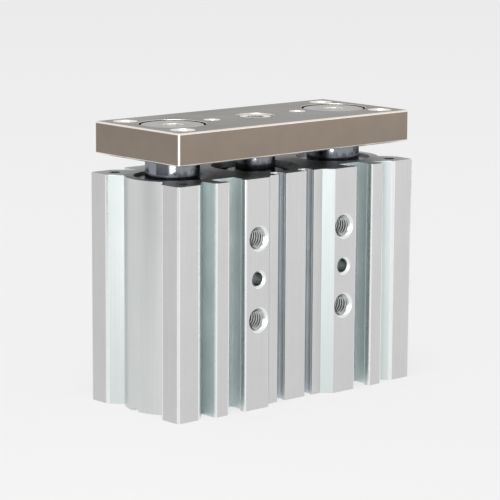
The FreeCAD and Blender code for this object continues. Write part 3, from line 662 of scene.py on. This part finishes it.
@dataclass
class Housing:
    """The extruded housing with its mounting threads and port threads.

    Attributes:
        corner: Rounding of the outer edges that run along the extrusion.
        rim: Rounding of its other edges.
        shortest: Shortest edge that the rim's rounding takes.
        boss: Radius that everything belonging to a guide bore lies within.
        middle: Radius that everything belonging to the cylinder bore lies within.
        wide_rim: Depth of the flat faces behind the pads of the wide sides.
        narrow_rim: Depth of the flat faces behind the narrow sides.
        hole: Radius round a mounting hole within which faces are machined.
        leg_hole: Radius round a leg's hole within which faces are its walls.
        leg_flat: Share of a normal from which a face in there is a flat side of the leg.
        groove: Radius round a sensor groove within which faces are its walls.
        groove_depth: Middle of a sensor groove below its face.
        lip_share: Share of a normal along the wide side from which a groove's wall is darker.
        chamfer_share: Share of a normal out of the hole that marks the chamfer at its mouth.
        round_share: Share of a normal out of a boss from which a face belongs to its round.
        pitch: Pitch of the mounting threads.
        tapped: Length of the mounting threads.
        countersink: Depth of the chamfers at their mouths.
        port_pitch: Pitch of the port threads.
        port_countersink: Depth of the chamfers at the ports' mouths.
    """

    corner: float = 0.65 * MM
    rim: float = 0.14 * MM
    shortest: float = 0.3 * MM
    boss: float = 11.6 * MM
    middle: float = 14.2 * MM
    wide_rim: float = 3.0 * MM
    narrow_rim: float = 0.2 * MM
    hole: float = 5.0 * MM
    leg_hole: float = 2.4 * MM
    leg_flat: float = 0.9999
    groove: float = 2.9 * MM
    groove_depth: float = 2.3 * MM
    # lip_share: Share of a normal along the wide side from which a groove's wall takes painted shade instead
    # of painted light.
    lip_share: float = 0.86
    chamfer_share: float = 0.5
    round_share: float = 0.995
    pitch: float = 1.0 * MM
    tapped: float = 12.0 * MM
    countersink: float = 0.75 * MM
    port_pitch: float = 0.907 * MM
    port_countersink: float = 0.1 * MM

    def build(self) -> None:
        """Make the housing and its threads."""
        self._shell()
        self._mounting_threads()
        self._port_threads()

    def _shell(self) -> None:
        """Refine the extrusion: rounded edges with a painted highlight, and a finish for each machining."""
        low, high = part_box("housing")
        piece = copy_of_node("housing")
        rod_x = centre_of("guide_rod_right").x
        threads, legs = MOUNTS["housing_threads"], MOUNTS["rear_leg_holes"]["dims"]
        across = threads["dims"]["spacing_x_mm"] * MM / 2
        up = threads["dims"]["spacing_y_mm"] * MM / 2
        rows = (threads["pos_m"][2] - up, threads["pos_m"][2], threads["pos_m"][2] + up)
        leg_x, leg_y = legs["spacing_x_mm"] * MM / 2, legs["spacing_y_mm"] * MM / 2
        grooves = self._grooves()

        def milled(place: Vector, normal: Vector) -> bool:
            """The two sawn and milled ends."""
            return abs(normal.z) > FACING and min(place.z - low.z, high.z - place.z) < CLOSE

        def bored(place: Vector, _normal: Vector) -> bool:
            """Walls and floors of the bores."""
            to_guide = math.hypot(abs(place.x) - rod_x, place.y)
            return to_guide < self.boss or math.hypot(place.x, place.y) < self.middle

        def drilled(place: Vector, normal: Vector) -> bool:
            """Walls of the mounting holes and the ports."""
            if abs(normal.y) > FACING and low.y + MM < place.y < high.y - MM:
                return False
            near_row = min(math.hypot(abs(place.x) - across, place.z - row) for row in rows)
            return near_row < self.hole and max(abs(share) for share in normal) < EXACT

        def chamfered(place: Vector, normal: Vector) -> bool:
            """Chamfers at the mouths of the holes, which take the painted highlight."""
            return drilled(place, normal) and abs(normal.y) > self.chamfer_share

        def in_leg_hole(place: Vector, normal: Vector) -> bool:
            """Walls of the holes in the legs' ends."""
            near = math.hypot(abs(place.x) - leg_x, abs(place.y) - leg_y)
            return near < self.leg_hole and max(abs(normal.x), abs(normal.y)) < self.leg_flat

        def outside(place: Vector, normal: Vector) -> bool:
            """Flat faces on the outside, which a linishing belt reaches."""
            wide = abs(normal.y) > SQUARE and high.y - abs(place.y) < self.wide_rim
            narrow = abs(normal.x) > SQUARE and high.x - abs(place.x) < self.narrow_rim
            return wide or narrow

        def grooved(place: Vector, _normal: Vector) -> bool:
            """Walls of the sensor grooves, which take painted light."""
            return any((place.xy - groove).length < self.groove for groove in grooves)

        def lip(place: Vector, normal: Vector) -> bool:
            """Walls of the sensor grooves that face along the wide side, which take painted shade."""
            return grooved(place, normal) and abs(normal.x) > self.lip_share

        def rounded(place: Vector, normal: Vector) -> bool:
            """The round bosses between the legs."""
            out = Vector((abs(place.x) - rod_x, place.y, 0.0)).normalized()
            return Vector((abs(normal.x), normal.y, normal.z)).dot(out) > self.round_share

        def outer_corner(middle: Vector, run: Vector) -> bool:
            """Edges along the extrusion that lie outside the rows of mounting holes."""
            return self._upright(run) and abs(middle.x) > across

        # The rounded edges (slot 0) and the chamfers take the painted highlight.
        paint(piece, [(EDGE, nowhere), (MILLED, milled), (BORED, bored), (EDGE, chamfered),
                      (THREAD, drilled), (THREAD, in_leg_hole), (LINISHED, outside), (LIP_SHADE, lip),
                      (GROOVE_LIT, grooved), (DRAWN, rounded), (EXTRUDED_REFLECTION_TINT, anywhere)])
        bevel_edges(piece, self.corner, lambda middle, run, bend: bend > 0 and outer_corner(middle, run)
                    and not bored(middle, run), slot=0)
        bevel_edges(piece, self.rim, lambda middle, run, bend: bend > 0 and run.length > self.shortest
                    and not outer_corner(middle, run) and not bored(middle, run), slot=0, steps=1)
        shade(piece)
        hand_over(piece, STILL_BODY, "anodised_extrusion", "housing")

    @staticmethod
    def _upright(run: Vector) -> bool:
        """Whether an edge runs along the extrusion."""
        return abs(run.z) > EXACT * run.length and run.length > MM

    def _grooves(self) -> list[Vector]:
        """Middles of the sensor grooves, in plan."""
        mouths = [Vector(mount["pos_m"]).xy for name, mount in MOUNTS.items() if "sensor_slot" in name]
        return [mouth - Vector((0, math.copysign(self.groove_depth, mouth.y))) for mouth in mouths]

    def _mounting_threads(self) -> None:
        """The four tapped holes in the pads."""
        threads = MOUNTS["housing_threads"]
        face = Vector(MOUNTS["tapped_face"]["pos_m"]).y
        ridge = ThreadRidge(threads["dims"]["hole_r_mm"] * MM, self.pitch, self.tapped, self.countersink)
        half_x = threads["dims"]["spacing_x_mm"] * MM / 2
        half_z = threads["dims"]["spacing_y_mm"] * MM / 2
        for side, x in (("left", -half_x), ("right", half_x)):
            for row, z in (("rear", -half_z), ("front", half_z)):
                mouth = Vector((x, face, threads["pos_m"][2] + z))
                piece = ridge.build(f"mounting_thread_{row}_{side}", mouth, Vector((0, -1, 0)))
                paint(piece, [(THREAD, anywhere)])
                hand_over(piece, STILL_BODY, "anodised_extrusion")

    def _port_threads(self) -> None:
        """The two air ports on the back."""
        for name in ("rear_port", "front_port"):
            port = MOUNTS[name]
            length = port["dims"]["length_mm"] * MM
            ridge = ThreadRidge(port["dims"]["r_mm"] * MM, self.port_pitch, length, self.port_countersink)
            mouth = Vector(port["pos_m"])
            mouth.y += length / 2
            piece = ridge.build(f"{name}_thread", mouth, Vector((0, 1, 0)))
            paint(piece, [(THREAD, anywhere)])
            hand_over(piece, STILL_BODY, "anodised_extrusion")


# ---------------------------------------------------------------- turned and stamped pieces


@dataclass
class RefinedNode:
    """A node whose own shape is right, with its edges rounded and its finishes set.

    Attributes:
        node: Name of the node.
        body: Body that it rides on.
        finish: Finish of the whole piece.
        edge: Rounding of its edges.
        sunk_finish: Finish of what is sunk into its front end, or None for the piece's own.
        socket: Reach of the socket's rim from the middle of the front end, 0 without a socket.
        rim: Rounding of that rim.
        crown: How much the front end stands out over the node's own.
        sunk_share: Reach of the sunk faces from the top's middle, as a share of the radius.
    """

    node: str
    body: str
    finish: Finish
    edge: float = 0.15 * MM
    sunk_finish: Finish | None = None
    socket: float = 0.0
    rim: float = 0.3 * MM
    crown: float = 0.0
    sunk_share: float = 0.6

    def build(self) -> None:
        """Refine the node and hand it over."""
        low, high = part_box(self.node)
        centre_x = centre_of(self.node).x
        piece = copy_of_node(self.node)
        middle = Vector((centre_x, 0.0, high.z))
        sunk_reach = self.sunk_share * (high.x - low.x) / 2

        def sunk(place: Vector, _normal: Vector) -> bool:
            """Walls and floor of a socket."""
            return high.z - place.z > CLOSE and (place - middle).length < sunk_reach

        paint(piece, [(self.finish, nowhere), (self.sunk_finish or self.finish, sunk),
                      (self.finish, anywhere)], centre_x)
        for vertex in piece.data.vertices:
            if high.z - vertex.co.z < self.edge:
                vertex.co.z += self.crown
        middle.z += self.crown
        if self.sunk_finish:
            bevel_edges(piece, self.rim, lambda place, _run, _bend:
                        (place - middle).length < self.socket, slot=1)
        bevel_edges(piece, self.edge, lambda place, _run, _bend:
                    (place - middle).length > self.socket, slot=0)
        shade(piece)
        hand_over(piece, self.body, NODE_SLOTS[self.node], self.node)


@dataclass
class EndPlate:
    """The tooling plate: ground faces, chamfers with a painted highlight, plated holes brightened with
    painted light, and their threads; its back and bolt seats are darkened with painted shade.

    Attributes:
        pitch: Pitch of the four tooling threads.
        tapped: Length of those threads.
        edge: Rounding of the remaining sharp edges.
        countersink: Depth of the chamfers at the threads' mouths.
        rim: Width of the strip along the outline that holds the sides and their chamfers.
        seat_gap: Room round a guide bolt's head within which faces are its seat, which takes painted shade.
    """

    pitch: float = 1.0 * MM
    tapped: float = 9.0 * MM
    edge: float = 0.09 * MM
    countersink: float = 0.5 * MM
    rim: float = 0.6 * MM
    seat_gap: float = 1.0 * MM

    def build(self) -> None:
        """Make the plate and its threads."""
        low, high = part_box("end_plate")
        piece = copy_of_node("end_plate")
        finishes = (PLATE_EDGE_HIGHLIGHT, PLATE_HOLE_LIT, PLATE_TOP, PLATE_SHADE, PLATE_SIDE)
        for finish in finishes:
            piece.data.materials.append(finish.material())
        for face in piece.data.polygons:
            face.material_index = finishes.index(self._finish_of(face.center, face.normal, low, high))
        # The rounded edges take slot 0, the painted highlight.
        bevel_edges(piece, self.edge, any_edge, slot=0, steps=1)
        shade(piece)
        hand_over(piece, MOVING_BODY, "plated_steel", "end_plate")
        self._threads(high)

    def _finish_of(self, place: Vector, normal: Vector, low: Vector, high: Vector) -> Finish:
        """Finish of one face of the plate.

        Args:
            place: The face's middle.
            normal: The face's normal.
            low: Lowest corner of the plate.
            high: Highest corner of the plate.

        Returns:
            The finish.
        """
        if abs(normal.z) > SQUARE:
            # The back takes painted shade, so that the housing's top mirrors it dark.
            return PLATE_TOP if high.z - place.z < CLOSE else PLATE_SHADE
        if min(place.x - low.x, high.x - place.x, place.y - low.y, high.y - place.y) < self.rim:
            # Chamfers along the outline take the painted highlight.
            flat = max(abs(normal.x), abs(normal.y)) > SQUARE
            return PLATE_SIDE if flat else PLATE_EDGE_HIGHLIGHT
        for side in SIDES:
            start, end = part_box(f"guide_bolt_{side}")
            if (place - (start + end) / 2).xy.length < (end.x - start.x) / 2 + self.seat_gap:
                return PLATE_SHADE
        # Hole walls take the plated colour brightened with painted light.
        return PLATE_HOLE_LIT

    def _threads(self, high: Vector) -> None:
        """The four tooling threads, which go through the plate.

        Args:
            high: Highest corner of the plate.
        """
        dims = MOUNTS["plate_threads"]["dims"]
        ridge = ThreadRidge(dims["hole_r_mm"] * MM, self.pitch, self.tapped, self.countersink)
        half_x, half_y = dims["spacing_x_mm"] * MM / 2, dims["spacing_y_mm"] * MM / 2
        for side, x in (("left", -half_x), ("right", half_x)):
            for face, y in (("front", -half_y), ("back", half_y)):
                mouth = Vector((x, y, high.z))
                piece = ridge.build(f"plate_thread_{face}_{side}", mouth, UP)
                # The thread ridges take the same painted light.
                paint(piece, [(PLATE_HOLE_LIT, anywhere)])
                hand_over(piece, MOVING_BODY, "plated_steel")


@dataclass
class PlateBolt:
    """The socket screw in the middle of the plate, with a knurled head.

    Attributes:
        knurls: Ridges round the head.
        knurl_depth: Depth of the grooves between them.
        shank: Radius of the shank.
        socket: Hexagon of the socket, across flats.
        socket_depth: Depth of the socket.
        chamfer: Chamfer round the top of the head.
        head: Height of the head.
        smooth: Bend below which the knurled head is shaded smooth.
    """

    knurls: int = 48
    knurl_depth: float = 0.16 * MM
    shank: float = 3.0 * MM
    socket: float = 5.0 * MM
    socket_depth: float = 3.2 * MM
    chamfer: float = 0.45 * MM
    head: float = 6.0 * MM
    smooth: float = math.radians(28)

    def build(self) -> None:
        """Model the screw and hand it over."""
        low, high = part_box("plate_bolt")
        radius = (high.x - low.x) / 2
        seat = high.z - self.head
        bpy.ops.object.select_all(action="DESELECT")
        bpy.ops.mesh.primitive_cylinder_add(vertices=2 * self.knurls, radius=radius, depth=self.head,
                                            location=(0, 0, (seat + high.z) / 2))
        bolt = bpy.context.object
        bolt.name = "plate_bolt_finished"
        settle(bolt)

        def shape() -> None:
            """Chamfer the top, cut the knurl and draw out the shank."""
            select_faces(bolt, lambda _place, normal: normal.z > FACING)
            bpy.ops.mesh.inset(thickness=self.chamfer, depth=0)
            select_faces(bolt, lambda _place, normal: normal.z < -FACING)
            bpy.ops.mesh.inset(thickness=radius - self.shank, depth=0)
            reach = Vector((0, 0, low.z - seat))
            bpy.ops.mesh.extrude_region_move(TRANSFORM_OT_translate={"value": reach})

        in_edit_mode(bolt, shape)
        for vertex in bolt.data.vertices:
            out = math.hypot(vertex.co.x, vertex.co.y)
            turn = math.atan2(vertex.co.y, vertex.co.x) / math.tau * 2 * self.knurls
            if out > radius - self.chamfer / 2:
                if vertex.co.z > seat + self.head / 2:
                    vertex.co.z -= self.chamfer
                if round(turn) % 2:
                    vertex.co.xy = vertex.co.xy * (1 - self.knurl_depth / out)
        cut_away(bolt, "cylinder", vertices=6, radius=self.socket / math.sqrt(3),
                 depth=2 * self.socket_depth, location=(0, 0, high.z))
        bolt.data.materials.append(SCREW.material())
        pick_only(bolt)
        bpy.ops.object.shade_smooth_by_angle(angle=self.smooth)
        hand_over(bolt, MOVING_BODY, "screw_steel", "plate_bolt")


def finish_inner_nodes() -> None:
    """Give every node that keeps its own mesh the finish of its slot."""
    for name, node in frame["nodes"].items():
        finish = SLOT_FINISHES[NODE_SLOTS[name]]
        node.data.materials.clear()
        node.data.materials.append(finish.material(centre_of(name).x))


# ---------------------------------------------------------------- studio


def direction(azimuth: float, elevation: float) -> Vector:
    """Way from the object to what stands round it.

    Args:
        azimuth: Turn to the left of the wide face, in degrees.
        elevation: Height above the horizon, in degrees.

    Returns:
        The way, one unit long.
    """
    turn, rise = math.radians(azimuth), math.radians(elevation)
    return Vector((-math.sin(turn) * math.cos(rise), -math.cos(turn) * math.cos(rise), math.sin(rise)))


@dataclass(frozen=True)
class Lamp:
    """A soft lamp that faces the middle of the object.

    Attributes:
        name: Name of the lamp.
        azimuth: Turn to the left of the wide face, in degrees.
        elevation: Height above the horizon, in degrees.
        distance: Lamp to the middle of the object.
        width: Width of the lamp.
        height: Height of the lamp.
        power: Power in watts.
        only: Starts of the names of the pieces that it lights, or nothing for all of them.
    """

    name: str
    azimuth: float
    elevation: float
    distance: float
    width: float
    height: float
    power: float
    only: tuple[str, ...] = ()

    def build(self) -> None:
        """Hang the lamp."""
        light = bpy.data.lights.new(self.name, "AREA")
        light.shape = "RECTANGLE"
        light.energy = self.power
        light.size = self.width
        light.size_y = self.height
        lamp = bpy.data.objects.new(self.name, light)
        bpy.context.scene.collection.objects.link(lamp)
        lamp.visible_camera = False
        away = direction(self.azimuth, self.elevation)
        lamp.location = (CAD_BOX[0] + CAD_BOX[1]) / 2 + away * self.distance
        lamp.rotation_euler = away.to_track_quat("Z", "Y").to_euler()
        if self.only:
            lit = bpy.data.collections.new(f"lit_by_{self.name}")
            for piece in bpy.data.objects:
                if piece.type == "MESH" and piece.name.startswith(self.only):
                    lit.objects.link(piece)
            lamp.light_linking.receiver_collection = lit


@dataclass(frozen=True)
class Card:
    """A low dark card, curved round the object, that only polished metal sees.

    Attributes:
        name: Name of the card.
        first: Azimuth of its right end, in degrees.
        last: Azimuth of its left end, in degrees.
        radius: Distance from the object's axis.
        height: Height of the card.
        middle: Height of its middle above the origin.
        sides: Sides of the full ring that it is cut from.
        colour: Its colour.
    """

    name: str
    first: float
    last: float
    radius: float = 0.25
    height: float = 0.017
    middle: float = 0.0345
    sides: int = 90
    colour: tuple[float, float, float, float] = (0.01, 0.01, 0.015, 1.0)

    def build(self) -> None:
        """Hang the card."""
        bpy.ops.object.select_all(action="DESELECT")
        bpy.ops.mesh.primitive_cylinder_add(vertices=self.sides, radius=self.radius, depth=self.height,
                                            end_fill_type="NOTHING", location=(0, 0, self.middle))
        card = bpy.context.object
        card.name = self.name
        settle(card)

        def beyond(place: Vector, _normal: Vector) -> bool:
            """Faces of the ring past the card's two ends."""
            return not self.first < math.degrees(math.atan2(-place.x, -place.y)) < self.last

        def trim() -> None:
            """Keep the faces between the two ends."""
            select_faces(card, beyond)
            bpy.ops.mesh.delete(type="FACE")

        in_edit_mode(card, trim)
        black = bpy.data.materials.new(self.name)
        black.use_nodes = True
        black.node_tree.nodes["Principled BSDF"].inputs["Base Color"].default_value = self.colour
        card.data.materials.append(black)
        card.visible_camera = card.visible_diffuse = card.visible_shadow = False


LAMPS = (
    Lamp("key", azimuth=46, elevation=24, distance=1.6, width=1.4, height=1.2, power=6.2),
    Lamp("top", azimuth=60, elevation=78, distance=1.2, width=0.6, height=0.6, power=4.6),
    Lamp("fill", azimuth=-44, elevation=8, distance=1.6, width=1.2, height=0.8, power=2.4),
    Lamp("side", azimuth=52, elevation=0, distance=0.19, width=0.05, height=0.06, power=0.02),
    Lamp("strip", azimuth=44, elevation=-1.6, distance=0.25, width=0.07, height=0.028, power=0.085,
         only=("guide_rod", "piston_rod")),
)
CARDS = (Card("left_card", first=58, last=108), Card("right_card", first=-115, last=-60))


@dataclass
class Studio:
    """Floor, world, lamps, cards and camera.

    Attributes:
        background: Level of the pale background above the horizon.
        world_level: World light on the object.
        floor_size: Side of the floor.
        floor_colour: Colour of the floor where it takes light and shadow.
        floor_glow: Level of the plain colour mixed into the floor.
        floor_paint: Share of the floor that is seen as that plain colour.
        azimuth: Camera's turn to the left of the wide face, in degrees.
        elevation: Camera's height above the horizon, in degrees.
        roll: Camera's roll, in degrees.
        aim: Point in the middle of the view.
        distance: Camera to that point.
        nearest: Nearest distance that the camera sees.
        lens: Focal length, in Blender's millimetres.
        sensor: Width of the camera's sensor, in the same millimetres.
    """

    background: float = 0.86
    world_level: float = 0.62
    floor_size: float = 40.0
    floor_colour: tuple[float, float, float, float] = (0.80, 0.80, 0.80, 1.0)
    floor_glow: float = 0.915
    floor_paint: float = 0.78
    azimuth: float = 41.69
    elevation: float = 10.16
    roll: float = 0.33
    aim: Vector = field(default_factory=lambda: Vector((-1.90, -0.1, 42.56)) * MM)
    distance: float = 0.6994
    nearest: float = 0.01
    lens: float = 168.1
    sensor: float = 36.0

    def build(self) -> None:
        """Set up the studio."""
        self._world()
        self._floor()
        for thing in (*LAMPS, *CARDS):
            thing.build()
        self._camera()
        bpy.context.scene.view_settings.view_transform = "Standard"

    @staticmethod
    def _seen_ray(tree: bpy.types.NodeTree) -> bpy.types.NodeSocket:
        """1 for rays from the camera, and for those that gloss or glass sends on.

        Args:
            tree: The node tree to add to.

        Returns:
            The socket with the value.
        """
        path = add_node(tree, "LightPath", {}).outputs
        mirrored = add_node(tree, "Math", {0: path["Is Camera Ray"], 1: path["Is Glossy Ray"]}, "MAXIMUM")
        return add_node(tree, "Math", {0: mirrored.outputs[0], 1: path["Is Transmission Ray"]},
                        "MAXIMUM").outputs[0]

    def _world(self) -> None:
        """A plain world: the background's colour where it is seen, softer light elsewhere."""
        world = bpy.data.worlds.new("studio")
        bpy.context.scene.world = world
        world.use_nodes = True
        tree = world.node_tree
        background = tree.nodes["Background"]
        background.inputs["Color"].default_value = (1, 1, 1, 1)
        level = remap(tree, self._seen_ray(tree), (0.0, 1.0), (self.world_level, self.background))
        tree.links.new(level, background.inputs["Strength"])

    def _floor(self) -> None:
        """A wide pale floor that keeps a soft shadow."""
        bpy.ops.object.select_all(action="DESELECT")
        bpy.ops.mesh.primitive_plane_add(size=self.floor_size, location=(0, 0, CAD_BOX[0].z))
        floor = bpy.context.object
        floor.name = "floor"
        settle(floor)
        material = bpy.data.materials.new("pale_floor")
        material.use_nodes = True
        tree = material.node_tree
        tree.nodes.remove(tree.nodes["Principled BSDF"])
        matt = add_node(tree, "BsdfDiffuse", {"Color": self.floor_colour}).outputs[0]
        plain = add_node(tree, "Emission", {"Strength": self.floor_glow}).outputs[0]
        share = add_node(tree, "Math", {0: self._seen_ray(tree), 1: self.floor_paint}, "MULTIPLY").outputs[0]
        mix = add_node(tree, "MixShader", {0: share, 1: matt, 2: plain}).outputs[0]
        tree.links.new(mix, tree.nodes["Material Output"].inputs["Surface"])
        floor.data.materials.append(material)

    def _camera(self) -> None:
        """The camera, turned and raised as its fields say."""
        away = direction(self.azimuth, self.elevation)
        data = bpy.data.cameras.new("camera")
        data.lens = self.lens
        data.sensor_width = self.sensor
        data.clip_start = self.nearest
        camera = bpy.data.objects.new("camera", data)
        bpy.context.scene.collection.objects.link(camera)
        camera.rotation_mode = "QUATERNION"
        camera.rotation_quaternion = (away.to_track_quat("Z", "Y")
                                      @ Quaternion((0, 0, 1), math.radians(self.roll)))
        camera.location = self.aim + away * self.distance
        bpy.context.scene.camera = camera


# ---------------------------------------------------------------- the whole object


def main() -> None:
    """Build every sub-assembly in order, then the studio."""
    logging.basicConfig(level=logging.INFO, format="%(name)s: %(message)s")
    finish_inner_nodes()
    Housing().build()
    refined = [
        RefinedNode("rod_cover", STILL_BODY, TURNED),
        RefinedNode("head_cover", STILL_BODY, TURNED),
        RefinedNode("rod_cover_retaining_ring", STILL_BODY, SPRING),
        RefinedNode("head_cover_retaining_ring", STILL_BODY, SPRING),
        *(RefinedNode(f"guide_felt_{side}", STILL_BODY, FELT) for side in SIDES),
        *(RefinedNode(f"felt_holder_{side}", STILL_BODY, SPRING, edge=0.1 * MM) for side in SIDES),
        *(RefinedNode(f"guide_rod_{side}", MOVING_BODY, CHROME_DARK_REFLECTION) for side in SIDES),
        RefinedNode("piston_rod", MOVING_BODY, CHROME_DARK_REFLECTION),
        # The guide bolts' sockets and their rims take the painted light of the plated holes.
        *(RefinedNode(f"guide_bolt_{side}", MOVING_BODY, BOLT_HEAD, sunk_finish=PLATE_HOLE_LIT,
                      socket=5 * MM, crown=0.3 * MM) for side in SIDES),
    ]
    for piece in refined:
        piece.build()
    EndPlate().build()
    PlateBolt().build()
    Studio().build()


if __name__ == "__main__":
    main()
